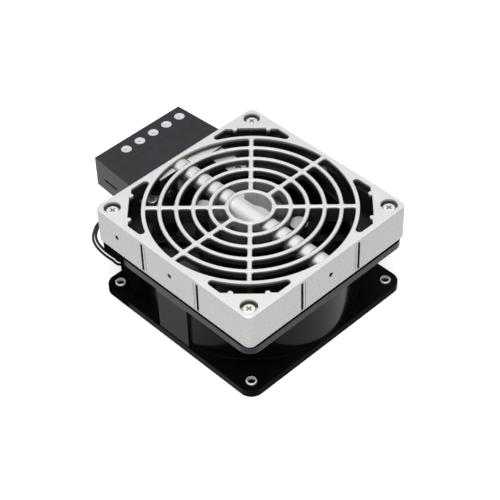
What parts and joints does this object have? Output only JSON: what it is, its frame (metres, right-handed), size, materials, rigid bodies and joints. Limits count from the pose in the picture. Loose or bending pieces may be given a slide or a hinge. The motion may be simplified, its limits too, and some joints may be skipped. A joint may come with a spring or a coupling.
{
  "type": "enclosure fan heater",
  "caption": "Compact enclosure fan heater: a cast aluminium body with a round ring grille over a square black axial fan, with a dark screw terminal box on one side.",
  "frame": {"origin": "on the fan axis, in the mounting face of the lower fan flange", "axes": "+Z along the fan axis out of the grille, +Y towards the terminal box, +X to the side on which the poles of the terminal box lie"},
  "size_m": [0.119, 0.151, 0.0616],
  "materials": {
    "cast_aluminium": "matte blasted casting",
    "black_paint": "semi-gloss black",
    "black_plastic": "matte black",
    "charcoal_plastic": "matte charcoal",
    "cutout_body": "matte",
    "plain_steel": "bright",
    "zinc_steel": "zinc plated",
    "bright_zinc": "bright zinc plated",
    "core_steel": "dull",
    "plain_brass": "dull",
    "copper_wire": "enamelled copper",
    "lead_light": "sleeved wire",
    "lead_dark": "insulated wire",
    "lead_earth": "insulated wire"
  },
  "bodies": {
    "housing": {"heater_casting": "cast_aluminium", "cartridge_heater": "plain_steel", "heater_leads": "lead_light", "thermal_cutout": "cutout_body", "cutout_screw": "zinc_steel", "cutout_leads": "lead_dark", "earth_screw": "core_steel", "earth_lead": "lead_earth", "corner_screws": "zinc_steel", "air_guide": "black_plastic", "fan_housing": "black_paint", "flange_bushes": "bright_zinc", "bearing_tube": "plain_brass", "shaft_bearings": "plain_brass", "bearing_cap": "black_plastic", "stator_core": "core_steel", "stator_coils": "copper_wire", "fan_leads": "lead_dark", "terminal_cover": "charcoal_plastic", "terminal_base": "charcoal_plastic", "terminal_block": "charcoal_plastic", "terminal_clamps": "plain_brass", "terminal_screws": "bright_zinc", "box_screws": "core_steel"},
    "rotor": {"impeller": "black_plastic", "rotor_cup": "core_steel", "rotor_ring": "core_steel", "rotor_shaft": "plain_steel", "shaft_clip": "core_steel"}
  },
  "joints": [
    {"name": "impeller_spin", "type": "hinge", "parent": "housing", "child": "rotor", "pos_m": [0, 0, 0.02], "axis": [0, 0, 1], "continuous": true}
  ]
}
